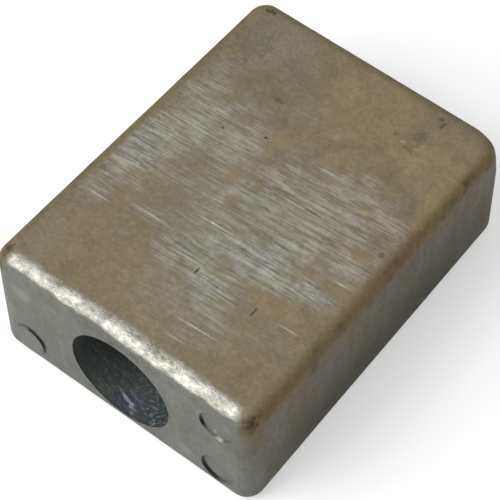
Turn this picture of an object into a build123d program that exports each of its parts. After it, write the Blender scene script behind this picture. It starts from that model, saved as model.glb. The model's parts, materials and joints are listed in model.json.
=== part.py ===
"""Block anode, die-cast in one piece from zinc alloy.

The block is drawn first as it sits in its die: the bore runs up Z from the
front face, which is the wide end of the taper. It is then laid down on one of
its two broad faces, the way it rests on a bench. Its origin is the middle of
its footprint, on the face it lies on. The bore's mouth then points to -Y and
+Z is up. Millimetres, and degrees where a name says so.
"""
from build123d import *
import os

# Driving dimensions of the casting
LENGTH = 65.0                # front face to back face, along the bore
FRONT_WIDTH = 49.5           # across the broad faces, at the wide front end
FRONT_HEIGHT = 24.0          # between the broad faces, at the wide front end
DRAFT_DEG = 0.7              # die taper on each of the four long sides
RIM_RADIUS = 2.5             # round of the edges about the two broad faces
CORNER_EXTRA = 0.7           # how much rounder the four upright corners are

# Bore for the holding screw: a wide pocket for its head, then a clear hole
POCKET_DIAMETER = 18.5       # at the mouth, room for a socket round the head
POCKET_DRAFT_DEG = 0.4       # taper of the core pin that forms the pocket
SEAT_WALL = 13.0             # metal between the screw head's seat and the back face
SEAT_FILLET = 1.0            # root of the pocket, where the core pin is rounded
SCREW_HOLE_DIAMETER = 8.5    # clear hole for an M8 screw

# Ejector pins push on the front face, as far out as its flat allows
PIN_DIAMETER = 6.0
PIN_LAND = 0.1               # flat left between a pin's mark and the rounds
LOW_LEFT_RISE = 0.25         # this pin sat short and left a low pad
LOW_RIGHT_SINK = 0.4         # the two on the right stood long and bit into the face
HIGH_RIGHT_SINK = 0.3

corner_radius = RIM_RADIUS + CORNER_EXTRA
pocket_depth = LENGTH - SEAT_WALL
LEFT, RIGHT = -1, 1
LOW, HIGH = -1, 1


def tapered_block():
    """The plain casting: a drafted block, its corners rounded before its rims."""
    block = extrude(Rectangle(FRONT_WIDTH, FRONT_HEIGHT), LENGTH, taper=DRAFT_DEG)
    block = fillet(block.edges().filter_by(Axis.Y), corner_radius)
    broad_faces = block.faces().sort_by(Axis.Y)
    rims = broad_faces[0].edges() + broad_faces[-1].edges()
    return fillet(rims, RIM_RADIUS)


def screw_bore():
    """What the core pins fill: the head's pocket and the screw's clear hole."""
    mouth = Circle(POCKET_DIAMETER / 2)
    pocket = extrude(mouth, pocket_depth, taper=POCKET_DRAFT_DEG)
    seat_edge = pocket.edges().sort_by(Axis.Z)[-1]
    pocket = fillet(seat_edge, SEAT_FILLET)
    screw_hole = extrude(Circle(SCREW_HOLE_DIAMETER / 2), LENGTH)
    return pocket + screw_hole


def pin_mark(side, level, start, end):
    """The disc under one ejector pin, from start to end measured into the metal."""
    x = FRONT_WIDTH / 2 - corner_radius - PIN_LAND - PIN_DIAMETER / 2
    y = FRONT_HEIGHT / 2 - RIM_RADIUS - PIN_LAND - PIN_DIAMETER / 2
    disc = extrude(Circle(PIN_DIAMETER / 2), end - start)
    return Pos(side * x, -level * y, start) * disc


def lay_down(casting):
    """Turn the casting onto the broad face that it rests on, centred on it."""
    lying = Rot(X=-90 - DRAFT_DEG) * casting
    box = lying.bounding_box()
    return Pos(-box.center().X, -box.center().Y, -box.min.Z) * lying


casting = tapered_block()
casting += pin_mark(LEFT, LOW, -LOW_LEFT_RISE, RIM_RADIUS)
casting -= pin_mark(RIGHT, LOW, 0, LOW_RIGHT_SINK)
casting -= pin_mark(RIGHT, HIGH, 0, HIGH_RIGHT_SINK)
casting -= screw_bore()

anode_block = lay_down(casting)
anode_block.label = "anode_block"

os.makedirs("parts", exist_ok=True)
export_step(anode_block, "parts/anode_block.step")
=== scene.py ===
"""Zinc block anode: the cast block with its screw bore, its finishes and a plain studio.

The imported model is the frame: the block stands where its solid stands, in metres, +Z up,
with the bore's mouth towards -Y. The visible block is grown by Geometry Nodes from the same
few sizes as the casting. It is a drafted block with rolled rims, with its bore and the
ejector pins' marks cut by booleans and a shallow as-cast relief pressed into every face.
"""
import json
import math

import bpy
from bpy.props import FloatProperty, FloatVectorProperty, PointerProperty
from mathutils import Euler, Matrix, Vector


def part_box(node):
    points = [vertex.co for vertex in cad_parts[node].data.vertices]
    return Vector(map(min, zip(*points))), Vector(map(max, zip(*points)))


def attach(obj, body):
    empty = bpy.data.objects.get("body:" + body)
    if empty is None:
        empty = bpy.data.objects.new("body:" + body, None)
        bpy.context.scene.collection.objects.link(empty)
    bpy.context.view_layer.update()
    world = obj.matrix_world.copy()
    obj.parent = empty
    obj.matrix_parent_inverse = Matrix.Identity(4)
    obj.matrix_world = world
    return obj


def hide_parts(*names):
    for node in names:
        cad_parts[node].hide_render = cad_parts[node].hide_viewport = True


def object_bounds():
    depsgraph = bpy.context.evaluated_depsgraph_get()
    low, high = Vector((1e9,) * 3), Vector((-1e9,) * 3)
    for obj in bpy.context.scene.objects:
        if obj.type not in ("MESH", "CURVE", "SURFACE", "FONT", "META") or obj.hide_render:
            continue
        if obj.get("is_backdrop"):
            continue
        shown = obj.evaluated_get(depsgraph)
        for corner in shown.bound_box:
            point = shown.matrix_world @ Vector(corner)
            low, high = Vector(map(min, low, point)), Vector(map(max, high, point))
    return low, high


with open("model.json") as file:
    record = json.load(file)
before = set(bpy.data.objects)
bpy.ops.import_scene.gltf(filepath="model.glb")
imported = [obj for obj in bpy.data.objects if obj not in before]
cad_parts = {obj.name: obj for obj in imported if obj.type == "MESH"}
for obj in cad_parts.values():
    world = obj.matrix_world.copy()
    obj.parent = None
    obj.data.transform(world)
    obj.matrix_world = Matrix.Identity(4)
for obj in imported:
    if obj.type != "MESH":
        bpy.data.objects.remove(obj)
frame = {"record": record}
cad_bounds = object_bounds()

bl_info = {
    "name": "Zinc block anode",
    "version": (1, 0, 0),
    "blender": (4, 5, 0),
    "location": "3D View > Sidebar > Anode",
    "description": "Builds a die-cast zinc block anode and the studio it is shown in",
    "category": "Add Mesh",
}

MM = 0.001
NODE = "anode_block"
BODY = "root"
SEED = 7                      # every noise that needs a seed starts from this one

# The kinds of node that the trees use most
MATH = "ShaderNodeMath"
VECTOR = "ShaderNodeVectorMath"
JOIN = "ShaderNodeCombineXYZ"
SPLIT = "ShaderNodeSeparateXYZ"
RANGE = "ShaderNodeMapRange"
NOISE = "ShaderNodeTexNoise"
MIX = "ShaderNodeMix"
ATTRIBUTE = "ShaderNodeAttribute"
STORE = "GeometryNodeStoreNamedAttribute"
GROUP = "GeometryNodeGroup"
STORED = "GeometryNodeInputNamedAttribute"
MOVE = "GeometryNodeSetPosition"
TRANSFORM = "GeometryNodeTransform"
BOOLEAN = "GeometryNodeMeshBoolean"
POSITION = "GeometryNodeInputPosition"

# The groups' inputs. They are plain numbers, apart from those that the last table names
BLOCK_INPUTS = ("Width", "Length", "Height", "Draft", "Corner Radius", "Rim Radius", "Spacing")
BORE_INPUTS = ("Pocket Diameter", "Pocket Depth", "Pocket Draft", "Seat Fillet",
               "Hole Diameter", "Length", "Spacing")
RELIEF_INPUTS = ("Length", "Wave Depth", "Wave Length", "Grain Depth", "Rim Grain Depth",
                 "Bore Grain Depth", "Grain Length")
OTHER_INPUTS = ("Pin Diameter", "Pin Land", "Middle", "Skin", "Bore Wall")
SOCKET_TYPES = {"Geometry": "Geometry", "Middle": "Vector", "Skin": "Material",
                "Bore Wall": "Material"}

LEFT, RIGHT = -1, 1
LOW, HIGH = -1, 1

# Marks of the ejector pins on the front face: side, level, how far each stands proud
PIN_MARKS = (
    (LEFT, LOW, 0.25 * MM),
    (RIGHT, LOW, -0.40 * MM),
    (RIGHT, HIGH, -0.30 * MM),
)

# Knocks in the broad upper face: x, distance from the front face, radius and depth, in mm
KNOCKS = (
    (13, 55.2, 1.5, 0.2),
    (11, 55.6, 0.9, 0.16),
    (14.6, 54.6, 0.8, 0.14),
    (13.4, 62.2, 0.9, 0.18),
    (14.4, 61.2, 0.7, 0.14),
    (-20.6, 63, 1.6, 0.2),
    (-8.3, 49.6, 1.5, 0.06),
)

# The back edge is worn down towards its right end: middle, radii and depth of wear, in mm
WORN_END = (24.0, 65.0, 12.0)
WORN_END_RADII = (6.0, 8.0, 9.0)
WORN_END_DEPTH = 1.2

KNOCK_REACH = 5.0             # how far a knock's mask reaches up and down, in mm
PIN_SIDES = 64                # of the mesh of a pin mark's disc, and its rings
PIN_RINGS = 6
ALONG_Y = Euler((-math.pi / 2, 0.0, 0.0))    # turns what is drawn up Z to run towards +Y
REAL_EDGE = math.radians(50)  # an edge that turns by less is shaded smooth
FIT = 0.3 * MM                # how far the mesh may miss its solid's box

# The finishes measure from the front face: x, distance from that face, height above the floor
FRONT_ORIGIN = (0.0, -32.4, 0.0)
BLOCK_MIDDLE = 32.5
MID_HEIGHT = 12.0             # of the block above the floor
TOP = 24.0                    # of the upper broad face above the floor
SPOT_REACH = 12.0             # how far a spot in plan reaches up and down
SCRATCH_SLANT = math.radians(3.2)
NOISE_LOW, NOISE_HIGH = 0.3, 0.7    # most of a noise's values lie between these

# Patches of the broad face, in mm: x, distance from the front face, two radii, strength
RUBBED = (
    (0, 32, 28, 20, 0.62),
    (4, 13, 14, 12, 0.4),
    (-14.5, 38.5, 14, 14, 0.78),
    (-19, 29, 8, 13, 0.95),
    (-8, 38, 8, 13, 0.78),
    (2, 34.5, 11, 11, 0.85),
    (12.5, 35.5, 15, 15, 0.95),
    (6.5, 23.5, 12, 8.5, 1),
    (5.5, 16.5, 7, 7, 1),
    (-20, 19, 5, 5, 0.6),
    (-3, 17.5, 6, 3.5, 0.8),
    (0.5, 19.5, 8, 4.5, 0.65),
    (7, 12, 7, 6, 0.55),
    (17, 13.6, 7.5, 3, 0.3),
    (16.5, 24, 7.5, 4.5, 0.95),
    (-9, 20.5, 8.5, 3, 0.5),
    (8, 7, 7, 3, 0.45),
    (-18, 45.5, 4.5, 4.5, 0.75),
)
UNRUBBED = (
    (-3.2, 43, 2.2, 6, 0.9),
    (-4.8, 33.5, 1.9, 3.6, 0.8),
    (-0.6, 34.6, 1.2, 2, 0.8),
    (-2.2, 29.6, 1.7, 2, 0.8),
    (4.5, 45.8, 5, 2.8, 1),
    (18.8, 34, 2.6, 1.8, 0.8),
    (19.4, 27.4, 2.4, 1.5, 0.8),
    (13.5, 18.8, 6, 2.2, 0.9),
    (13.5, 14.8, 5, 3, 0.75),
    (-10.5, 24.5, 4.5, 3.2, 0.6),
    (-11.5, 38.5, 3.5, 3.5, 0.35),
    (5.5, 42, 3.5, 2.2, 0.45),
)
THICK_FILM = (
    (-3.2, 43, 2.2, 6, 0.6),
    (-4.8, 33.5, 2.2, 3.8, 0.5),
    (-0.6, 34.6, 1.4, 2.2, 0.45),
    (-2.2, 29.6, 2, 2.2, 0.5),
    (18.8, 34, 3, 2.2, 0.5),
    (19.4, 27.4, 2.8, 1.8, 0.5),
    (14, 18.8, 6, 2.4, 0.45),
    (9, 55, 15, 11, 0.8),
    (-1, 59, 8, 6, 0.5),
    (22.5, 50, 3.5, 14, 0.9),
    (4, 46.5, 8, 4, 0.4),
    (1, 6, 5, 4, 0.5),
    (17, 8, 7, 6, 0.12),
    (-9, 10, 9, 7, 0.2),
)
THIN_FILM = (
    (-16, 57, 9, 9, 0.9),
    (-8, 54, 6, 7, 0.4),
    (12.5, 58, 3, 3.5, 0.9),
    (-20, 8, 4, 6, 0.5),
)

# Where rubbing left the face colder or warmer in colour
COLD_RUBBED = (
    (6.5, 23.5, 9.5, 5.5, 0.9),
    (5.5, 15, 4.5, 4.5, 0.8),
    (16.5, 23, 6, 3.5, 0.9),
    (1.5, 19.5, 6, 3, 0.6),
    (-19, 31, 5, 4.5, 0.4),
)
WARM_RUBBED = (
    (14, 38.5, 11, 8, 1),
    (15, 33, 9, 4, 0.8),
    (-0.5, 37.5, 6, 5, 0.9),
    (-10, 41, 7, 5, 0.5),
    (5, 29.5, 5, 3, 0.5),
)

# Dirt in nicks and corners: x, distance from the front face, two radii, strength
DIRT = (
    (1.65, 17, 0.22, 1.1, 0.85),
    (12.7, 16.4, 0.22, 1.1, 0.75),
    (-5.5, 42.5, 0.45, 0.4, 0.9),
    (-11.9, 39.9, 0.45, 0.4, 0.6),
    (-20.3, 63, 1.3, 0.8, 0.7),
    (13.6, 62.2, 0.6, 0.6, 0.6),
    (14.5, 61.2, 0.4, 0.9, 0.55),
    (13.1, 57.4, 1.4, 1.7, 0.3),
    (9.7, 55.6, 0.7, 0.5, 0.4),
    (12.6, 54.2, 1.3, 0.5, 0.35),
    (-8.3, 49.4, 1.3, 0.7, 0.4),
    (21.4, 35.9, 0.8, 0.6, 0.45),
    (21, 40.4, 1.1, 0.5, 0.3),
    (15.6, 24, 0.6, 0.9, 0.3),
    (4.7, 24, 0.5, 0.9, 0.25),
    (-23.4, 52, 1.2, 13, 0.35),
    (-18.5, 56, 5, 5.5, 0.22),
    (-22.5, 48, 2.5, 12, 0.18),
    (8, 64.6, 16, 0.9, 0.3),
    (-24.7, 30, 1.1, 36, 0.55),
    (-23.2, 30, 2.4, 36, 0.14),
)

# Spots in space, in mm: middle, three radii, strength. Dirt at the ends of the front rim
CORNER_DIRT = (
    ((23.7, 1.9, 23), (1.5, 1.5, 1.5), 0.85),
    ((-22.9, 2.6, 23.7), (1.6, 1.6, 1.6), 0.75),
    ((-21.4, 4.6, 23.8), (1.3, 1.3, 1.3), 0.25),
)
# Brown stain that runs down the front's right corner
RUN_DOWN = (
    ((24.4, 1.8, 18.5), (2.2, 3, 9), 0.6),
)
# Paler patches of the front face; the two strongest rows, on the upper right pin mark's lower rim,
# are painted glints
PALE_SPOTS_AND_GLINTS = (
    ((-18.7, 0, 17.9), (2.6, 2, 2.4), 0.25),
    ((19, 0, 15.4), (1, 2, 0.5), 1),
    ((18, 0, 16.6), (0.5, 2, 0.9), 0.45),
    ((20.5, 0, 19.5), (1.2, 2, 2), 0.15),
    ((-13, 0, 19.5), (2, 2, 1.2), 0.15),
    ((12.5, 0, 5), (2.6, 2, 1.6), 0.15),
    ((-21.5, 0, 11.5), (1.5, 2, 2.5), 0.15),
)

# Single spots, in mm: the redder stain on the right rim and the dirt under the bare rim
REDDER_STAIN = (24.0, 38.0, 22.5)
REDDER_STAIN_RADII = (3.0, 7.0, 3.0)
UNDER_RIM = (4.0, 0.4, 22.0)
UNDER_RIM_RADII = (15.0, 1.2, 1.0)

# Single long scratches: middle x, distance from the front face, length, width, strength
LONG_SCRATCHES = (
    (-19.8, 32.7, 5.5, 0.44, 1),
    (-14.5, 37.4, 16, 0.44, 0.7),
    (-18.6, 18.3, 6, 0.44, 1),
    (-10, 20.4, 10, 0.44, 0.8),
    (-1, 17.8, 10, 0.44, 0.9),
    (-0.5, 25, 11, 0.44, 0.9),
    (8, 9, 10.5, 0.44, 0.9),
    (6.5, 5.8, 5, 0.44, 0.6),
    (19.8, 28, 4, 0.44, 0.8),
    (18.5, 17, 5, 0.44, 0.6),
    (5.8, 43.1, 5.5, 0.44, 0.8),
    (-19.5, 43.6, 5, 0.44, 0.7),
    (11.4, 54.9, 1.2, 0.44, 0.55),
    (13.9, 54.9, 1.4, 0.44, 0.45),
)

# Layers of fine scratches: length and pitch in mm, slant in degrees, where they start, strength.
# Real ones lie closer together, too fine to show, so these are drawn coarser
BRIGHT_STROKES = (
    (3.6, 0.22, 2.2, 0.54, 0.48),
    (6, 0.4, 3.2, 0.57, 0.54),
    (10, 0.75, 3.9, 0.62, 0.72),
)
DULL_STROKES = (
    (3.6, 0.3, 2.8, 0.54, 0.64),
    (5.5, 0.55, 3.4, 0.6, 0.38),
)
CROWDING = 0.12               # how much more of a layer shows where the face is rubbed most
SOFTNESS = 0.20               # of the scratches' edges, as a share of the noise

# Painted shade round the pin marks' rims: x, height above the floor, radius, angle in degrees,
# spread in mm
PIN_RIM_SHADE = (
    (-18.5, 5.7, 3.15, 50, 4),
    (18.5, 5.6, 2.95, 235, 3.4),
    (18.5, 18.4, 2.95, 205, 1.5),
)
RING_WIDTH = 0.3              # of that painted shade, to each side of the rim, in mm

# Stretches of the front rim where its painted highlight is weaker: middle and radii
WEAKER_HIGHLIGHT_STRETCHES = (
    ((-11, 1.3, 22.9), (4.5, 3, 3)),
    ((18.5, 1.3, 22.9), (5.5, 3, 3)),
)

# Inside the bore's mouth, on its lowest wall: a dark stain, with painted highlight streaks in it
# where the lamp's light falls
SCUFF_STAIN = (-0.9, 1.9, 2.7)
SCUFF_STAIN_RADII = (3.2, 2.3, 3.0)
HIGHLIGHT_SLANT = math.radians(-16.0)
HIGHLIGHT_HEIGHTS = (2.7, 3.0)    # of the streaks above the floor, and how far they reach from it
HIGHLIGHT_STREAKS = (
    (-1.1, 2.2, 5.4, 0.8, 0.62),
    (0.4, 1.6, 1.8, 0.9, 0.45),
    (-0.2, 3.2, 4, 0.5, 0.14),
    (0.9, 0.8, 2, 0.5, 0.28),
)


def on_slant(x, y, z, slant):
    """A point in axes turned about Z by a slant."""
    cosine, sine = math.cos(slant), math.sin(slant)
    return x * cosine + y * sine, y * cosine - x * sine, z


def screw_hole_mount():
    """The record's own account of the screw hole: its middle, axis, radius and length."""
    mounts = {mount["name"]: mount for mount in frame["record"]["mounts"]}
    return mounts["screw_hole"]


def linear(hex_value):
    """An sRGB hex colour as linear red, green and blue."""
    channels = [int(hex_value[i:i + 2], 16) / 255 for i in (1, 3, 5)]
    return tuple(c / 12.92 if c <= 0.04045 else ((c + 0.055) / 1.055) ** 2.4 for c in channels)


def size(description, millimetres):
    """A length property whose default is given in millimetres."""
    return FloatProperty(description=description, default=millimetres * MM, min=0.0, precision=5,
                         unit="LENGTH")


def colour(description, hex_value):
    """A colour property, with alpha, whose default is an sRGB hex value."""
    return FloatVectorProperty(description=description, subtype="COLOR", min=0.0, max=1.0,
                               default=(*linear(hex_value), 1.0), size=4)


def title(name):
    """A property's name as a label, such as Rim Radius for rim_radius."""
    return name.replace("_", " ").title()


class BlockSizes(bpy.types.PropertyGroup):
    """Sizes of the casting."""
    length: size("front face to back face, along the bore", 65.0)
    width: size("across the broad faces at the wide front end", 49.5)
    height: size("between the broad faces at the wide front end", 24.0)
    rim_radius: size("round of the edges about the two broad faces", 2.5)
    corner_radius: size("round of the four upright corners", 3.2)
    pocket_diameter: size("width of the bore at its mouth", 18.5)
    seat_fillet: size("round at the root of the pocket", 1.0)
    pin_diameter: size("width of an ejector pin's mark", 6.0)
    pin_land: size("flat left between a pin's mark and the rounds", 0.1)
    spacing: size("side of the mesh's squares", 0.43)
    wave_depth: size("depth of the slow waves left by the die", 0.10)
    wave_length: size("distance between two slow waves", 13.0)
    grain_depth: size("depth of the as-cast grain on the faces", 0.03)
    rim_grain_depth: size("depth of the knocks along the rims", 0.10)
    bore_grain_depth: size("depth of the rough skin in the bore", 0.16)
    grain_length: size("distance between two grains", 1.5)
    pocket_draft: FloatProperty(description="taper of the bore's pocket", default=math.radians(0.4),
                                precision=4, unit="ROTATION")


class FinishColours(bpy.types.PropertyGroup):
    """Colours of the casting's finishes."""
    skin: colour("dull grey zinc as it left the die", "#70716a")
    # also the colour of painted glints on the upper right pin mark's lower rim
    pale: colour("lighter patches of the front face", "#b6b7ae")
    side_skin: colour("browner zinc of the long sides and the back", "#6b6149")
    side_grey: colour("greyer streaks down the sides", "#67625a")
    # painted shade down the sides towards the floor; the rims' stain also takes this colour in
    # grimy patches
    grime: colour("dirt worked into the sides towards the floor", "#43402f")
    stain: colour("dark brown round the rims and a little way below", "#756644")
    red_stain: colour("redder stain in the middle of the right rim", "#7d6046")
    film: colour("brown film on the broad faces", "#80755c")
    gold_film: colour("golden brown of the thickest film", "#90805f")
    grey_film: colour("greyer brown of the thinnest film", "#847c6a")
    rubbed: colour("film bleached by rubbing", "#969587")
    cold_rubbed: colour("bleached to a cold grey", "#9ca2a1")
    warm_rubbed: colour("bleached to a warm grey", "#a59278")
    groove: colour("dirt in the finest scratches", "#565145")
    # painted highlight: the front rim's brightest colour, where the lamp's reflection falls on it
    burnished: colour("front rim rubbed bright", "#dfddd2")
    bare: colour("zinc rubbed bare", "#cbc9bf")
    pit: colour("duller zinc in the pits of the front rim", "#8d8c80")
    bore: colour("blackened wall of the bore", "#50564f")
    bore_right: colour("the same towards the right", "#3b4244")
    bore_fleck: colour("bare flecks in the bore", "#7c868a")
    scuff_stain: colour("dark stain just inside the bore's mouth", "#3e3f58")
    # painted highlight on the bore's lowest wall, just inside its mouth
    scuff: colour("bright streaks in that stain", "#d3d6e4")
    # the same dark colour is also painted shade round the pin marks' rims
    dirt: colour("dark dirt in nicks and corners", "#2c2922")


class StageSettings(bpy.types.PropertyGroup):
    """Floor, lamps and camera."""
    floor: colour("plain pale floor", "#cccccc")
    world: FloatProperty(description="strength of the even light all round", default=0.5, min=0.0)
    key: FloatProperty(description="power of the large soft lamp in front", default=4.6, min=0.0,
                       unit="POWER")
    lens: FloatProperty(description="focal length of the camera", default=161.464, min=1.0,
                        unit="CAMERA")


# ---------------- nodes

def adder(tree):
    """The one function that adds nodes, for one tree."""
    def add(kind, *inputs, out=0, **settings):
        """Add a node, set it up, link or set its inputs, and hand back one of its outputs.

        The operation comes first if it has one. Inputs come in order, or by name in a
        dictionary, where a list links several sources to one input.
        """
        node = tree.nodes.new(kind)
        if inputs and isinstance(inputs[0], str):
            node.operation, *inputs = inputs
        for name, value in settings.items():
            setattr(node, name, value)
        named = inputs[0] if inputs and isinstance(inputs[0], dict) else dict(enumerate(inputs))
        for name, value in named.items():
            socket = node.inputs[name]
            for source in value if isinstance(value, list) else [value]:
                if isinstance(source, bpy.types.NodeSocket):
                    tree.links.new(source, socket)
                else:
                    socket.default_value = source
        return node.outputs[out] if len(node.outputs) else node
    return add


def new_group(name, inputs):
    """A tree that makes one mesh: the tree, what adds to it, and its inputs by name."""
    tree = bpy.data.node_groups.new(name, "GeometryNodeTree")
    for socket in inputs:
        socket_type = "NodeSocket" + SOCKET_TYPES.get(socket, "Float")
        tree.interface.new_socket(socket, in_out="INPUT", socket_type=socket_type)
    tree.interface.new_socket("Geometry", in_out="OUTPUT", socket_type="NodeSocketGeometry")
    return tree, adder(tree), tree.nodes.new("NodeGroupInput").outputs


def shifted(add, value, *shares):
    """A value with a share of each of some others added to it."""
    for other, share in shares:
        value = add(MATH, "MULTIPLY_ADD", other, share, value)
    return value


def eased(add, value, start, end, *shares, low=0.0, high=1.0):
    """A mask that eases from low to high as a shifted value goes from start to end."""
    value = shifted(add, value, *shares)
    return add(RANGE, {"Value": value, "From Min": start, "From Max": end, "To Min": low,
               "To Max": high}, interpolation_type="SMOOTHSTEP")


def tinted(add, base, *layers):
    """A colour with others laid over it, each where its mask says."""
    for mask, over in layers:
        base = add(MIX, {0: mask, 6: base, 7: over}, out=2, data_type="RGBA")
    return base


def front_face(add, given, height=0.0):
    """The middle of the front face, at a height from the block's middle."""
    y = add(MATH, "MULTIPLY", given["Length"], -0.5)
    return add(JOIN, {"Y": y, "Z": height})


def rolled(add, across, up):
    """How far a square edge's point is drawn in for the edge to become a quarter round."""
    corner = add(JOIN, {"X": across, "Y": up})
    reach = add(VECTOR, "LENGTH", corner, out="Value")
    square = add(MATH, "MAXIMUM", across, up)
    return add(MATH, "DIVIDE", square, reach)


def soft_spot(add, point, centre, radii, edge=0.5, ragged=None):
    """A mask that is 1 at a spot's centre and fades out at its rim; sizes in the point's unit."""
    apart = add(VECTOR, "SUBTRACT", point, centre)
    apart = add(VECTOR, "DIVIDE", apart, radii)
    distance = add(VECTOR, "LENGTH", apart, out="Value")
    if ragged is not None:
        distance = add(MATH, "ADD", distance, ragged)
    return eased(add, distance, 1.0, 1.0 - edge)


def uneven(add, place, length, low, high, detail=2.0, roughness=0.5):
    """A number that wanders between two values, in patches of a given length in mm."""
    patches = add(NOISE, {"Vector": place, "W": float(SEED), "Scale": 1.0 / length,
                  "Detail": detail, "Roughness": roughness}, noise_dimensions="4D")
    return add(RANGE, {"Value": patches, "From Min": NOISE_LOW, "From Max": NOISE_HIGH,
               "To Min": low, "To Max": high}, clamp=False)


def strongest(add, place, rows, edge, ragged=None, mask=0.0):
    """A mask and several soft spots, whichever is strongest: middle, radii, strength of each."""
    for middle, radii, strength in rows:
        spot = soft_spot(add, place, middle, radii, edge, ragged)
        spot = add(MATH, "MULTIPLY", spot, strength)
        mask = add(MATH, "MAXIMUM", mask, spot)
    return mask


def spots(add, place, table, edge, ragged):
    """Spots in plan: x, distance from the front, two radii, strength."""
    rows = [((x, y, TOP), (radius_x, radius_y, SPOT_REACH), strength)
            for x, y, radius_x, radius_y, strength in table]
    return strongest(add, place, rows, edge, ragged)


def drafted_block_group():
    """A drafted block, drawn as it sits in its die: +Y runs from the front face to the back."""
    tree, add, given = new_group("drafted block", BLOCK_INPUTS)

    # A box of small squares
    box = add(JOIN, given["Width"], given["Length"], given["Height"])
    counts = add(VECTOR, "DIVIDE", box, given["Spacing"])
    counts = add(SPLIT, counts).node.outputs
    cube = add("GeometryNodeMeshCube", {"Size": box, "Vertices X": counts["X"],
               "Vertices Y": counts["Y"], "Vertices Z": counts["Z"]})

    # What lies outside the core, which is the box less its radii, is what gets rounded
    radii = add(JOIN, given["Corner Radius"], given["Corner Radius"], given["Rim Radius"])
    half = add(VECTOR, "SCALE", {0: box, "Scale": 0.5})
    core = add(VECTOR, "SUBTRACT", half, radii)
    far_core = add(VECTOR, "SCALE", {0: core, "Scale": -1.0})
    point = add(POSITION)
    inner = add(VECTOR, "MINIMUM", point, core)
    inner = add(VECTOR, "MAXIMUM", inner, far_core)
    over = add(VECTOR, "SUBTRACT", point, inner)
    over_axes = add(SPLIT, over).node.outputs
    reach = add(VECTOR, "ABSOLUTE", over)
    reach = add(SPLIT, reach).node.outputs

    # In plan the corners are round: a ring of the box becomes a ring with round corners
    plan = add(JOIN, {"X": over_axes["X"], "Y": over_axes["Y"]})
    outward = add(VECTOR, "NORMALIZE", plan)
    plan_reach = add(MATH, "MAXIMUM", reach["X"], reach["Y"])

    # In section the rims are rolled, on the part of the reach that the rim radius takes
    flat = add(MATH, "SUBTRACT", given["Corner Radius"], given["Rim Radius"])
    flat = add(MATH, "MINIMUM", plan_reach, flat)
    across = add(MATH, "SUBTRACT", plan_reach, flat)
    roll = rolled(add, across, reach["Z"])
    out = add(MATH, "MULTIPLY_ADD", across, roll, flat)
    out = add(VECTOR, "SCALE", {0: outward, "Scale": out})
    up = add(MATH, "MULTIPLY", over_axes["Z"], roll)
    up = add(JOIN, {"Z": up})
    rounded = add(VECTOR, "ADD", inner, out)
    rounded = add(VECTOR, "ADD", rounded, up)

    # The die's draft narrows the block towards its back face
    from_front = add(VECTOR, "ADD", rounded, half)
    from_front = add(SPLIT, from_front, out="Y")
    slope = add(MATH, "TANGENT", given["Draft"])
    drawn_in = add(MATH, "MULTIPLY", from_front, slope)
    share = add(VECTOR, "DIVIDE", drawn_in, half)
    share = add(VECTOR, "MULTIPLY", share, (1.0, 0.0, 1.0))
    narrowing = add(VECTOR, "MULTIPLY", rounded, share)
    drafted = add(VECTOR, "SUBTRACT", rounded, narrowing)

    # Kept on the mesh for the finishes: 0 on the walls, 1 on the broad faces, between on a rim
    turn = add(MATH, "ARCTAN2", reach["Z"], across)
    turn = add(MATH, "DIVIDE", turn, math.pi / 2)
    marked = add(STORE, {"Geometry": cube, "Name": "rim_turn", "Value": turn})
    shaped = add(MOVE, {"Geometry": marked, "Position": drafted})
    add("NodeGroupOutput", shaped)
    return tree


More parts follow.
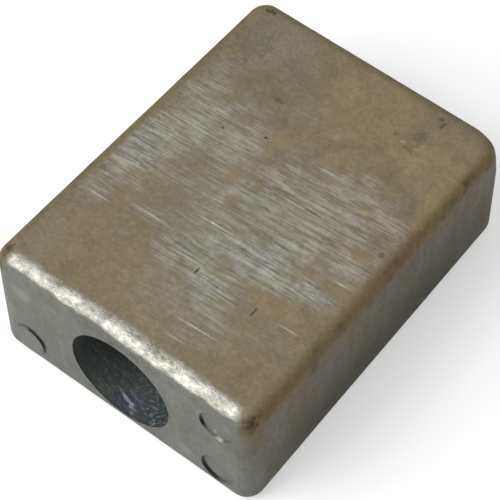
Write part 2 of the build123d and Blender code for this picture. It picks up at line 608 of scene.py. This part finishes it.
def bore_group():
    """What the core pins fill: the pocket for the screw's head and the clear hole behind it."""
    tree, add, given = new_group("bore", BORE_INPUTS)
    overrun = 1.0 * MM            # how far each cutter reaches past the face that it opens

    # The pocket is drawn up Z from the front face, which is at zero
    radius = add(MATH, "MULTIPLY", given["Pocket Diameter"], 0.5)
    slope = add(MATH, "TANGENT", given["Pocket Draft"])
    drawn_in = add(MATH, "MULTIPLY", slope, given["Pocket Depth"])
    seat_radius = add(MATH, "SUBTRACT", radius, drawn_in)
    mouth_radius = add(MATH, "MULTIPLY_ADD", slope, overrun, radius)
    pocket_length = add(MATH, "ADD", given["Pocket Depth"], overrun)
    rings = add(MATH, "DIVIDE", pocket_length, given["Spacing"])
    seat_rings = add(MATH, "DIVIDE", radius, given["Spacing"])
    sides = add(MATH, "MULTIPLY", seat_rings, 2 * math.pi)
    pocket = add("GeometryNodeMeshCone", {"Vertices": sides, "Side Segments": rings,
                 "Fill Segments": seat_rings, "Radius Top": seat_radius,
                 "Radius Bottom": mouth_radius, "Depth": pocket_length})
    pocket = add(TRANSFORM, {"Geometry": pocket, "Translation": (0.0, 0.0, -overrun)})

    # The pocket's root is rolled like the block's rims
    point = add(POSITION)
    axes = add(SPLIT, point).node.outputs
    plan = add(JOIN, {"X": axes["X"], "Y": axes["Y"]})
    from_axis = add(VECTOR, "LENGTH", plan, out="Value")
    outward = add(VECTOR, "NORMALIZE", plan)
    round_start = add(MATH, "SUBTRACT", seat_radius, given["Seat Fillet"])
    flat = add(MATH, "MINIMUM", from_axis, round_start)
    across = add(MATH, "SUBTRACT", from_axis, flat)
    wall_end = add(MATH, "SUBTRACT", given["Pocket Depth"], given["Seat Fillet"])
    low = add(MATH, "MINIMUM", axes["Z"], wall_end)
    up = add(MATH, "SUBTRACT", axes["Z"], low)
    roll = rolled(add, across, up)
    out = add(MATH, "MULTIPLY_ADD", across, roll, flat)
    out = add(VECTOR, "SCALE", {0: outward, "Scale": out})
    rise = add(MATH, "MULTIPLY_ADD", up, roll, low)
    rise = add(JOIN, {"Z": rise})
    rounded = add(VECTOR, "ADD", out, rise)
    near_root = add("FunctionNodeCompare", "GREATER_THAN", up, 0.0)
    pocket = add(MOVE, {"Geometry": pocket, "Selection": near_root, "Position": rounded})

    # The clear hole runs from inside the pocket to past the back face
    hole_radius = add(MATH, "MULTIPLY", given["Hole Diameter"], 0.5)
    wall = add(MATH, "SUBTRACT", given["Length"], given["Pocket Depth"])
    hole_length = add(MATH, "ADD", wall, 2 * overrun)
    hole_rings = add(MATH, "DIVIDE", hole_length, given["Spacing"])
    hole_sides = add(MATH, "MULTIPLY", sides, 0.5)
    hole = add("GeometryNodeMeshCylinder", {"Vertices": hole_sides, "Side Segments": hole_rings,
               "Radius": hole_radius, "Depth": hole_length})
    middle = add(MATH, "MULTIPLY_ADD", wall, 0.5, given["Pocket Depth"])
    middle = add(JOIN, {"Z": middle})
    hole = add(TRANSFORM, {"Geometry": hole, "Translation": middle})
    bore = add(BOOLEAN, "UNION", {"Mesh 2": [pocket, hole]}, solver="MANIFOLD")

    # Laid along +Y, with its mouth on the front face
    bore = add(TRANSFORM, {"Geometry": bore, "Rotation": ALONG_Y,
               "Translation": front_face(add, given)})
    marked = add(STORE, {"Geometry": bore, "Name": "in_bore", "Value": 1.0}, domain="FACE")
    add("NodeGroupOutput", marked)
    return tree


def cast_relief_group():
    """Presses the die's slow waves, the cast grain and a few knocks into every face."""
    tree, add, given = new_group("cast relief", ("Geometry", *RELIEF_INPUTS))
    point = add(POSITION)

    waviness = add(MATH, "DIVIDE", 1.0, given["Wave Length"])
    waves = add(NOISE, {"Vector": point, "W": float(SEED), "Scale": waviness, "Detail": 1.0},
                noise_dimensions="4D")
    waves = add(MATH, "MULTIPLY", waves, given["Wave Depth"])

    # The grain is shallow on the faces, deeper round the rims and deepest in the bore. A real
    # one is finer than the mesh's squares, so it is drawn as coarse as they can carry
    turn = add(STORED, {"Name": "rim_turn"})
    bend = add(MATH, "MULTIPLY", turn, math.pi)
    bend = add(MATH, "SINE", bend)
    face_depth = add(MIX, {"Factor": bend, "A": given["Grain Depth"],
                     "B": given["Rim Grain Depth"]})
    bored = add(STORED, {"Name": "in_bore"})
    depth = add(MIX, {"Factor": bored, "A": face_depth, "B": given["Bore Grain Depth"]})
    fineness = add(MATH, "DIVIDE", 1.0, given["Grain Length"])
    grain = add(NOISE, {"Vector": point, "W": float(SEED), "Scale": fineness, "Detail": 2.0},
                noise_dimensions="4D")
    pressed = add(MATH, "MULTIPLY_ADD", grain, depth, waves)

    # The knocks sit on the upper broad face, so they are spots in plan of no great height
    measured = add(VECTOR, "SUBTRACT", point, front_face(add, given))
    ragged = add(MATH, "SUBTRACT", grain, 0.4)
    for x, y, radius, depth in KNOCKS:
        spot = soft_spot(add, measured, (x * MM, y * MM, MID_HEIGHT * MM),
                         (radius * MM, radius * MM, KNOCK_REACH * MM), edge=0.8, ragged=ragged)
        pressed = add(MATH, "MULTIPLY_ADD", spot, depth * MM, pressed)

    inward = add(MATH, "MULTIPLY", pressed, -1.0)
    normal = add("GeometryNodeInputNormal")
    offset = add(VECTOR, "SCALE", {0: normal, "Scale": inward})

    # Wear draws the back edge's right end in, straight towards the front
    middle = tuple(c * MM for c in WORN_END)
    radii = tuple(c * MM for c in WORN_END_RADII)
    worn = soft_spot(add, measured, middle, radii, edge=1.0)
    worn = add(MATH, "MULTIPLY", worn, -WORN_END_DEPTH * MM)
    worn = add(JOIN, {"Y": worn})
    offset = add(VECTOR, "ADD", offset, worn)
    moved = add(MOVE, {"Geometry": given["Geometry"], "Offset": offset})
    add("NodeGroupOutput", moved)
    return tree


def worn_areas_group():
    """Notes on the mesh where the upper face is rubbed, how coldly, and how deep its film is."""
    tree, add, given = new_group("worn areas", ("Geometry", "Length"))

    # Measured in mm from the front face, with the upper broad face at TOP
    point = add(POSITION)
    place = add(VECTOR, "SUBTRACT", point, front_face(add, given, -MID_HEIGHT * MM))
    place = add(VECTOR, "SCALE", {0: place, "Scale": 1 / MM})
    ragged = uneven(add, place, 5.0, -0.35, 0.35, detail=3.0, roughness=0.7)

    kept = spots(add, place, UNRUBBED, 0.7, ragged)
    kept = add(MATH, "SUBTRACT", 1.0, kept)
    rubbed = spots(add, place, RUBBED, 0.85, ragged)
    rubbed = add(MATH, "MULTIPLY", rubbed, kept)
    thick = spots(add, place, THICK_FILM, 0.7, ragged)
    thin = spots(add, place, THIN_FILM, 0.8, ragged)
    depth = add(MATH, "SUBTRACT", thick, thin)
    cold = spots(add, place, COLD_RUBBED, 0.9, ragged)
    warm = spots(add, place, WARM_RUBBED, 0.9, ragged)
    coldness = add(MATH, "SUBTRACT", cold, warm)
    geometry = given["Geometry"]
    for name, value in (("rubbed", rubbed), ("film_depth", depth), ("coldness", coldness)):
        geometry = add(STORE, {"Geometry": geometry, "Name": name, "Value": value})
    add("NodeGroupOutput", geometry)
    return tree


def anode_group():
    """The whole casting: block, pin marks, bore and relief, laid on its lower broad face."""
    names = dict.fromkeys(BLOCK_INPUTS + BORE_INPUTS + RELIEF_INPUTS + OTHER_INPUTS)
    tree, add, given = new_group("block anode", names)
    block = add(GROUP, {name: given[name] for name in BLOCK_INPUTS},
                node_tree=drafted_block_group())
    bore = add(GROUP, {name: given[name] for name in BORE_INPUTS}, node_tree=bore_group())

    # Each pin's mark is a disc on the front face, as far out as the face's flat allows
    pin_radius = add(MATH, "MULTIPLY", given["Pin Diameter"], 0.5)
    inset = add(MATH, "ADD", pin_radius, given["Pin Land"])
    inset = add(JOIN, {"X": inset, "Z": inset})
    rounds = add(JOIN, {"X": given["Corner Radius"], "Z": given["Rim Radius"]})
    box = add(JOIN, given["Width"], given["Length"], given["Height"])
    place = add(VECTOR, "SCALE", {0: box, "Scale": 0.5})
    place = add(VECTOR, "SUBTRACT", place, inset)
    place = add(VECTOR, "SUBTRACT", place, rounds)
    pads = []
    sinks = []
    for side, level, proud in PIN_MARKS:
        root = 1.0 * MM           # the disc's other end, inside a pad or outside a sink
        start, end = (-proud, root) if proud > 0 else (-root, -proud)
        disc = add("GeometryNodeMeshCylinder", {"Vertices": PIN_SIDES, "Side Segments": 1,
                   "Fill Segments": PIN_RINGS, "Radius": pin_radius, "Depth": end - start})
        centre = add(VECTOR, "MULTIPLY", place, (side, -1.0, level))
        centre = add(VECTOR, "ADD", centre, (0.0, (start + end) / 2, 0.0))
        disc = add(TRANSFORM, {"Geometry": disc, "Translation": centre, "Rotation": ALONG_Y})
        (pads if proud > 0 else sinks).append(disc)
    cast = add(BOOLEAN, "UNION", {"Mesh 2": [block, *pads]}, solver="MANIFOLD")
    cast = add(BOOLEAN, "DIFFERENCE", {"Mesh 1": cast, "Mesh 2": [bore, *sinks]}, solver="MANIFOLD")

    relief = {name: given[name] for name in RELIEF_INPUTS}
    pressed = add(GROUP, {"Geometry": cast, **relief}, node_tree=cast_relief_group())
    worn = add(GROUP, {"Geometry": pressed, "Length": given["Length"]},
               node_tree=worn_areas_group())

    # Turned by its draft, so that it lies on its lower broad face
    back = add(MATH, "MULTIPLY", given["Draft"], -1.0)
    tilt = add(JOIN, {"X": back})
    laid = add(TRANSFORM, {"Geometry": worn, "Translation": given["Middle"], "Rotation": tilt})

    # Smooth but for real edges: the bore's mouth and seat and the rims of the pin marks
    smooth = add("GeometryNodeSetShadeSmooth", {"Geometry": laid}, domain="FACE")
    angle = add("GeometryNodeInputMeshEdgeAngle")
    gentle = add("FunctionNodeCompare", "LESS_THAN", angle, REAL_EDGE)
    smooth = add("GeometryNodeSetShadeSmooth", {"Geometry": smooth, "Shade Smooth": gentle},
                 domain="EDGE")
    real = add("GeometryNodeRealizeInstances", {"Geometry": smooth})
    bored = add(STORED, {"Name": "in_bore"})
    bored = add("FunctionNodeCompare", "GREATER_THAN", bored, 0.5)
    skinned = add("GeometryNodeSetMaterial", {"Geometry": real, "Material": given["Skin"]})
    finished = add("GeometryNodeSetMaterial", {"Geometry": skinned, "Selection": bored,
                   "Material": given["Bore Wall"]})
    add("NodeGroupOutput", finished)
    return tree


# ---------------- finishes

def new_material(name):
    """An empty material: the material, what adds to its tree, and the place in mm."""
    material = bpy.data.materials.new(name)
    material.use_nodes = True
    material.node_tree.nodes.clear()
    add = adder(material.node_tree)
    point = add("ShaderNodeTexCoord", out="Object")
    point = add(VECTOR, "SCALE", {0: point, "Scale": 1 / MM})
    place = add(VECTOR, "SUBTRACT", point, FRONT_ORIGIN)
    return material, add, place


def laid_over(add, under, mask, **over):
    """One finish over another where a mask says: colour, metallic, roughness and height."""
    finish = dict(under)
    for name, value in over.items():
        if name == "colour":
            finish[name] = tinted(add, under[name], (mask, value))
        else:
            finish[name] = add(MIX, {0: mask, 2: under[name], 3: value})
    return finish


def finished(add, finish, gloss):
    """Makes a finish the surface; its height, in mm, becomes relief. The gloss is even."""
    relief = add("ShaderNodeBump", {"Strength": 1.0, "Distance": MM, "Height": finish["height"]})
    surface = add("ShaderNodeBsdfPrincipled", {"Base Color": finish["colour"], "Normal": relief,
                  "Metallic": finish["metallic"], "Roughness": finish["roughness"],
                  "Specular IOR Level": gloss})
    add("ShaderNodeOutputMaterial", {"Surface": surface})


def strokes(add, place, layers, rubbed):
    """Fine scratches, long in X, that crowd together where the face is more rubbed."""
    drawn = 0.0
    for length, pitch, slant, start, strength in layers:
        turned = add("ShaderNodeVectorRotate", {"Vector": place, "Angle": -math.radians(slant)},
                     rotation_type="Z_AXIS")
        squeezed = add(VECTOR, "DIVIDE", turned, (length, pitch, length))
        lines = add(NOISE, {"Vector": squeezed, "W": pitch, "Scale": 1.0, "Detail": 2.0},
                    noise_dimensions="4D")
        lines = add(MATH, "MULTIPLY_ADD", rubbed, CROWDING, lines)
        lines = eased(add, lines, start, start + SOFTNESS, high=strength)
        drawn = add(MATH, "MAXIMUM", drawn, lines)
    return add(MATH, "MULTIPLY", drawn, rubbed)


def streaked(add, place, table, slant, height, reach, edge, ragged=None, mask=0.0):
    """A mask and several slanted streaks, at a height and reaching so far above and below it."""
    slanted = add("ShaderNodeVectorRotate", {"Vector": place, "Angle": -slant},
                  rotation_type="Z_AXIS")
    rows = [(on_slant(x, y, height, slant), (length / 2, width / 2, reach), strength)
            for x, y, length, width, strength in table]
    return strongest(add, slanted, rows, edge, ragged, mask)


def pin_rim_shade(add, place):
    """Painted shade in parts of the pin marks' rims."""
    dirt = 0.0
    for x, z, radius, angle, spread in PIN_RIM_SHADE:
        angle = math.radians(angle)
        middle = (x + radius * math.cos(angle), 0.0, z + radius * math.sin(angle))
        apart = add(VECTOR, "SUBTRACT", place, (x, 0.0, z))
        apart = add(VECTOR, "MULTIPLY", apart, (1.0, 0.0, 1.0))
        distance = add(VECTOR, "LENGTH", apart, out="Value")
        ring = add(MATH, "COMPARE", distance, radius, RING_WIDTH)
        part = soft_spot(add, place, middle, (spread, 1.5, spread), edge=0.7)
        part = add(MATH, "MULTIPLY", part, ring)
        dirt = add(MATH, "MAXIMUM", dirt, part)
    return dirt


def cast_skin(colours):
    """Zinc alloy, die-cast: a dull grey skin that weathers brown where it is handled.

    It gives the eye a soft, uneven sheen: grey in front, brown down the sides with painted shade
    towards the floor, with a thin brown film on the broad faces. The upper one is rubbed in fine
    parallel scratches, and the front rim is rubbed bare and glitters, with a painted highlight
    along it.
    """
    material, add, place = new_material("die_cast_zinc")
    axes = add(SPLIT, place).node.outputs
    turn = add(ATTRIBUTE, out="Fac", attribute_name="rim_turn")
    rubbed = add(ATTRIBUTE, out="Fac", attribute_name="rubbed")
    film_depth = add(ATTRIBUTE, out="Fac", attribute_name="film_depth")
    coldness = add(ATTRIBUTE, out="Fac", attribute_name="coldness")
    mottle = uneven(add, place, 9.0, -1.0, 1.0, detail=6.0, roughness=0.68)
    cloud = uneven(add, place, 2.4, -1.0, 1.0, detail=3.0)
    grit = uneven(add, place, 0.7, -1.0, 1.0, detail=2.0, roughness=0.6)
    drawn = add(VECTOR, "MULTIPLY", place, (1.0, 1.0, 0.15))
    streaks = uneven(add, drawn, 2.4, -1.0, 1.0, detail=5.0, roughness=0.7)
    frayed = add(MATH, "MULTIPLY", grit, 0.3)
    grain = add(MATH, "MULTIPLY", grit, 0.014)
    grain = add(MATH, "MULTIPLY_ADD", mottle, 0.060, grain)

    # The walls: grey in front; browner behind; painted shade darkens them towards the floor, less
    # near both ends
    behind_front = eased(add, axes["Y"], 0.8, 4.5)
    low = eased(add, axes["Z"], 19.0, 4.0)
    to_middle = add(MATH, "SUBTRACT", axes["Y"], BLOCK_MIDDLE)
    to_middle = add(MATH, "ABSOLUTE", to_middle)
    inner = eased(add, to_middle, 12.0, 30.0, low=1.0, high=0.35)
    low = add(MATH, "MULTIPLY", low, inner)
    greyer = add(MATH, "MULTIPLY_ADD", streaks, 0.8, 0.5, use_clamp=True)
    # low lays painted shade over the sides towards the floor
    side = tinted(add, colours.side_skin, (greyer, colours.side_grey), (low, colours.grime))
    side_tone = shifted(add, 1.0, (streaks, 0.20), (grit, 0.12))
    side = add(VECTOR, "SCALE", {0: side, "Scale": side_tone})
    front_tone = shifted(add, 1.0, (streaks, 0.12))
    front = add(VECTOR, "SCALE", {0: colours.skin[:3], "Scale": front_tone})
    skin = {"colour": front, "metallic": 0.30, "roughness": 0.64, "height": grain}
    # pale patches, with painted glints on the upper right pin mark's lower rim
    pale = strongest(add, place, PALE_SPOTS_AND_GLINTS, 0.8, frayed)
    skin = laid_over(add, skin, pale, colour=colours.pale)
    skin = laid_over(add, skin, behind_front, colour=side, roughness=0.60)

    # Brown stain runs round the rims behind the front one and a little way down the sides
    across = add(MATH, "ABSOLUTE", axes["X"])
    corner = eased(add, across, 21.6, 23.2)
    off_front = add(MATH, "MAXIMUM", behind_front, corner)
    stained = eased(add, axes["Z"], 18.8, 21.4, (mottle, 1.2), (cloud, 0.6))
    stained = add(MATH, "MULTIPLY", stained, off_front)
    stained = strongest(add, place, RUN_DOWN, 0.9, frayed, stained)
    redder = soft_spot(add, place, REDDER_STAIN, REDDER_STAIN_RADII, 0.9, frayed)
    grimy = add(MATH, "MULTIPLY", cloud, 0.9, use_clamp=True)
    stain = tinted(add, colours.stain, (redder, colours.red_stain), (grimy, colours.grime))
    skin = laid_over(add, skin, stained, colour=stain)

    # The film covers the broad faces, golden where it is thick and grey where it is thin
    film_depth = shifted(add, film_depth, (cloud, 0.24))
    thick = add(MATH, "MAXIMUM", film_depth, 0.0, use_clamp=True)
    thin = add(MATH, "MULTIPLY", film_depth, -1.0, use_clamp=True)
    film = tinted(add, colours.film, (thick, colours.gold_film), (thin, colours.grey_film))
    on_film = eased(add, turn, 0.45, 1.0)
    skin = laid_over(add, skin, on_film, colour=film, metallic=0.40, roughness=0.56)

    # Rubbing bleaches the film and scratches through it, a few degrees off the X axis
    broad = add(RANGE, {"Value": turn, "From Min": 0.8, "From Max": 1.0})
    rubbed = add(MATH, "MULTIPLY", rubbed, broad)
    patchy = shifted(add, 1.0, (cloud, 0.18))
    rubbed = add(MATH, "MULTIPLY", rubbed, patchy, use_clamp=True)
    bleached = add(MATH, "MULTIPLY", rubbed, 0.6)
    cold = add(MATH, "MAXIMUM", coldness, 0.0)
    warm = add(MATH, "MULTIPLY", coldness, -1.0, use_clamp=True)
    bleach = tinted(add, colours.rubbed, (cold, colours.cold_rubbed), (warm, colours.warm_rubbed))
    skin = laid_over(add, skin, bleached, colour=bleach, metallic=0.60, roughness=0.50)
    dull_lines = strokes(add, place, DULL_STROKES, rubbed)
    skin = laid_over(add, skin, dull_lines, colour=colours.groove)
    lines = strokes(add, place, BRIGHT_STROKES, rubbed)
    lines = streaked(add, place, LONG_SCRATCHES, SCRATCH_SLANT, TOP, SPOT_REACH, 0.9, mask=lines)
    lines = add(MATH, "MULTIPLY", lines, broad)
    skin = laid_over(add, skin, lines, colour=colours.bare, metallic=0.85, roughness=0.42,
                     height=-0.02)

    # The upper front rim is rubbed bare from half way up its round to just over its top
    bare_rim = eased(add, turn, 0.36, 0.50, (cloud, 0.08), (axes["X"], 0.002))
    over_top = eased(add, axes["Y"], 3.95, 2.9, (cloud, 0.35), (across, 0.025))
    bare_rim = add(MATH, "MULTIPLY", bare_rim, over_top)
    upper = add(MATH, "GREATER_THAN", axes["Z"], MID_HEIGHT)
    bare_rim = add(MATH, "MULTIPLY", bare_rim, upper)
    to_end = eased(add, across, 22.4, 20.9, (mottle, 0.7))
    bare_rim = add(MATH, "MULTIPLY", bare_rim, to_end)

    # A painted highlight makes it brightest along the middle of its round, weaker along two
    # stretches, and it is full of pits
    across_rim = add(VECTOR, "MULTIPLY", place, (0.55, 0.8, 0.8))
    pits = uneven(add, across_rim, 1.2, -0.3, 1.4, detail=5.0, roughness=0.75)
    pits = add(MATH, "MULTIPLY", pits, 1.0, use_clamp=True)    # kept between 0 and 1
    off_middle = add(MATH, "SUBTRACT", turn, 0.69)
    off_middle = add(MATH, "ABSOLUTE", off_middle)
    # painted highlight band, where the lamp's reflection falls on the rim
    highlight_band = eased(add, off_middle, 0.06, 0.33, low=1.0, high=0.0)
    for middle, radii in WEAKER_HIGHLIGHT_STRETCHES:
        weaker = soft_spot(add, place, middle, radii, 0.9, frayed)
        less = shifted(add, 1.0, (weaker, -0.9))
        highlight_band = add(MATH, "MULTIPLY", highlight_band, less)
    bright = tinted(add, colours.bare, (highlight_band, colours.burnished))
    rim_colour = tinted(add, colours.pit, (pits, bright))
    rim_height = add(MATH, "MULTIPLY", pits, 0.12)
    skin = laid_over(add, skin, bare_rim, colour=rim_colour, metallic=0.78, roughness=0.56,
                     height=rim_height)

    # Dirt lies in the nicks, in the corners and under the bare rim; round the pins' marks the same
    # dark colour is painted shade
    above = eased(add, axes["Z"], 18.0, 21.0)
    dirt = spots(add, place, DIRT, 0.6, frayed)
    dirt = add(MATH, "MULTIPLY", dirt, above)
    under_rim = soft_spot(add, place, UNDER_RIM, UNDER_RIM_RADII, 0.8, frayed)
    under_rim = add(MATH, "MULTIPLY", under_rim, cloud, use_clamp=True)
    under_rim = add(MATH, "MULTIPLY", under_rim, 0.6)
    dirt = add(MATH, "MAXIMUM", dirt, under_rim)
    # painted shade round the pin marks' rims
    dirt = add(MATH, "MAXIMUM", dirt, pin_rim_shade(add, place))
    dirt = strongest(add, place, CORNER_DIRT, 0.9, frayed, dirt)
    skin = laid_over(add, skin, dirt, colour=colours.dirt, metallic=0.0, roughness=0.75,
                     height=-0.08)

    tone = shifted(add, 1.0, (mottle, 0.12), (cloud, 0.07), (grit, 0.13))
    skin["colour"] = add(VECTOR, "SCALE", {0: skin["colour"], "Scale": tone})
    finished(add, skin, gloss=0.3)    # film and dirt have little gloss
    return material


def bore_wall(colours):
    """Zinc blackened by the core pin's lubricant: sooty and rough, with flecks of bare metal.

    It gives the eye a dark well; the bright streaks just inside its mouth are a painted highlight.
    """
    material, add, place = new_material("blackened_bore")
    grit = uneven(add, place, 1.1, 0.0, 1.0, detail=3.0)
    squeezed = add(VECTOR, "MULTIPLY", place, (1.0, 1.8, 1.0))
    flecks = uneven(add, squeezed, 0.8, -1.2, 1.0)
    rightward = add(SPLIT, place, out="X")
    rightward = add(RANGE, {"Value": rightward, "From Min": -8.0, "From Max": 8.0})
    fleck_depth = shifted(add, 0.25, (rightward, 0.7))
    flecks = add(MATH, "MULTIPLY", flecks, fleck_depth, use_clamp=True)
    relief = add(MATH, "MULTIPLY", grit, 0.10)
    wall = tinted(add, colours.bore, (rightward, colours.bore_right))
    soot = {"colour": wall, "metallic": 0.2, "roughness": 0.5, "height": relief}
    soot = laid_over(add, soot, flecks, colour=colours.bore_fleck)
    frayed = uneven(add, place, 0.9, -0.4, 0.4)
    stained = soft_spot(add, place, SCUFF_STAIN, SCUFF_STAIN_RADII, 0.9, frayed)
    soot = laid_over(add, soot, stained, colour=colours.scuff_stain)
    # painted highlight streaks on the lowest wall, just inside the mouth
    glint_streaks = streaked(add, place, HIGHLIGHT_STREAKS, HIGHLIGHT_SLANT, *HIGHLIGHT_HEIGHTS, 0.8, frayed)
    soot = laid_over(add, soot, glint_streaks, colour=colours.scuff, metallic=0.6, roughness=0.4)
    finished(add, soot, gloss=0.5)
    return material


# ---------------- operators

class ANODE_OT_block(bpy.types.Operator):
    """Build the cast block with its bore"""
    bl_idname = "anode.block"
    bl_label = "Cast block"

    def execute(self, context):
        sizes = context.scene.anode_sizes
        colours = context.scene.anode_colours
        hole = screw_hole_mount()
        axis = Vector(hole["axis"])
        seat_wall = hole["dims"]["length_mm"] * MM
        middle = Vector(hole["pos_m"]) + axis * (sizes.length - seat_wall) / 2
        values = {title(name): getattr(sizes, name) for name in sizes.__annotations__}
        values.update({
            "Draft": math.asin(axis.z), "Pocket Depth": sizes.length - seat_wall,
            "Hole Diameter": 2 * hole["dims"]["r_mm"] * MM, "Middle": middle,
            "Skin": cast_skin(colours), "Bore Wall": bore_wall(colours),
        })
        seed_mesh = bpy.data.meshes.new("cast_block")
        block = bpy.data.objects.new("cast_block", seed_mesh)
        context.scene.collection.objects.link(block)
        modifier = block.modifiers.new("block anode", "NODES")
        modifier.node_group = anode_group()
        for item in modifier.node_group.interface.items_tree:
            if item.in_out == "INPUT":
                modifier[item.identifier] = values[item.name]

        evaluated = block.evaluated_get(context.evaluated_depsgraph_get())
        block.data = bpy.data.meshes.new_from_object(evaluated)
        block.data.name = "cast_block"
        block.modifiers.clear()
        bpy.data.meshes.remove(seed_mesh)
        self.check_fit(block)
        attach(block, BODY)
        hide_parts(NODE)
        return {"FINISHED"}

    def check_fit(self, block):
        """Stop if the mesh doesn't fill the box of the solid that it stands for."""
        corners = [Vector(v.co) for v in block.data.vertices]
        low, high = (Vector(corner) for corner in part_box(NODE))
        for axis in range(3):
            reach = [corner[axis] for corner in corners]
            if max(abs(min(reach) - low[axis]), abs(max(reach) - high[axis])) > FIT:
                raise RuntimeError(f"the block misses its solid along axis {axis}: "
                                   f"{min(reach)} to {max(reach)}")


# The studio, in metres: its floor, its lamp and its camera
FLOOR_REACH = 3.0
FLOOR_GLOW = 0.45             # added for the camera and for gloss
KEY_PLACE = Vector((-0.245, -0.406, 0.52))
KEY_AIM = Vector((0, 0, 0.012))
KEY_SIDE = 0.5
CAMERA_PLACE = Vector((121.228, -147.870, 301.624)) * MM
CAMERA_TURN = [math.radians(a) for a in (33.1328, 0.8136, 38.3205)]


class ANODE_OT_stage(bpy.types.Operator):
    """Lay the floor and set up the lamps and the camera"""
    bl_idname = "anode.stage"
    bl_label = "Studio"

    def execute(self, context):
        scene = context.scene
        stage = scene.anode_stage
        self.lay_floor(scene, stage)
        self.light(scene, stage)
        self.set_camera(scene, stage)
        scene.view_settings.view_transform = "Standard"
        return {"FINISHED"}

    def lay_floor(self, scene, stage):
        """A wide pale floor that the camera and gloss see as white, with the block's shadow."""
        mesh = bpy.data.meshes.new("floor")
        corners = [(x * FLOOR_REACH, y * FLOOR_REACH, 0)
                   for x, y in ((-1, -1), (1, -1), (1, 1), (-1, 1))]
        mesh.from_pydata(corners, [], [(0, 1, 2, 3)])
        floor = bpy.data.objects.new("floor", mesh)
        scene.collection.objects.link(floor)
        material = bpy.data.materials.new("pale_floor")
        material.use_nodes = True
        material.node_tree.nodes.clear()
        add = adder(material.node_tree)
        path = add("ShaderNodeLightPath").node.outputs
        seen = add(MATH, "MAXIMUM", path["Is Camera Ray"], path["Is Glossy Ray"])
        seen = add(MATH, "MAXIMUM", seen, path["Is Transmission Ray"])
        glow = add(MATH, "MULTIPLY", seen, FLOOR_GLOW)
        paint = add("ShaderNodeBsdfDiffuse", {"Color": stage.floor})
        lit = add("ShaderNodeEmission", {"Strength": glow})
        both = add("ShaderNodeAddShader", paint, lit)
        add("ShaderNodeOutputMaterial", {"Surface": both})
        mesh.materials.append(material)
        floor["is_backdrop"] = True

    def light(self, scene, stage):
        """Even light all round, and one large soft lamp in front, a little to the left."""
        world = bpy.data.worlds.new("studio")
        world.use_nodes = True
        world.node_tree.nodes["Background"].inputs["Color"].default_value = (1, 1, 1, 1)
        world.node_tree.nodes["Background"].inputs["Strength"].default_value = stage.world
        scene.world = world
        lamp = bpy.data.lights.new("key", "AREA")
        lamp.shape = "RECTANGLE"
        lamp.size = lamp.size_y = KEY_SIDE
        lamp.energy = stage.key
        holder = bpy.data.objects.new("key", lamp)
        holder.location = KEY_PLACE
        holder.rotation_euler = (KEY_AIM - KEY_PLACE).to_track_quat("-Z", "Y").to_euler()
        scene.collection.objects.link(holder)

    def set_camera(self, scene, stage):
        """Three-quarter view from the front right, looking down."""
        lens = bpy.data.cameras.new("camera")
        lens.sensor_width = 36.0
        lens.lens = stage.lens
        lens.clip_start = 0.01
        camera = bpy.data.objects.new("camera", lens)
        camera.location = CAMERA_PLACE
        camera.rotation_euler = CAMERA_TURN
        scene.collection.objects.link(camera)
        scene.camera = camera


class ANODE_PT_panel(bpy.types.Panel):
    """Sizes, colours and the two build steps"""
    bl_idname = "ANODE_PT_panel"
    bl_label = "Zinc block anode"
    bl_space_type = "VIEW_3D"
    bl_region_type = "UI"
    bl_category = "Anode"

    def draw(self, context):
        for group in (context.scene.anode_sizes, context.scene.anode_colours,
                      context.scene.anode_stage):
            box = self.layout.box()
            for name in group.__annotations__:
                box.prop(group, name, text=title(name))
        self.layout.operator(ANODE_OT_block.bl_idname)
        self.layout.operator(ANODE_OT_stage.bl_idname)


CLASSES = (BlockSizes, FinishColours, StageSettings, ANODE_OT_block, ANODE_OT_stage,
           ANODE_PT_panel)


def register():
    for cls in CLASSES:
        bpy.utils.register_class(cls)
    bpy.types.Scene.anode_sizes = PointerProperty(type=BlockSizes)
    bpy.types.Scene.anode_colours = PointerProperty(type=FinishColours)
    bpy.types.Scene.anode_stage = PointerProperty(type=StageSettings)


def unregister():
    del bpy.types.Scene.anode_sizes
    del bpy.types.Scene.anode_colours
    del bpy.types.Scene.anode_stage
    for cls in reversed(CLASSES):
        bpy.utils.unregister_class(cls)


def main():
    """Build everything in order."""
    register()
    bpy.ops.anode.stage()
    bpy.ops.anode.block()
    boxes = {"cad": cad_bounds, "visual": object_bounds()}
    plain = {name: [list(map(float, corner)) for corner in box] for name, box in boxes.items()}


if __name__ == "__main__":
    main()
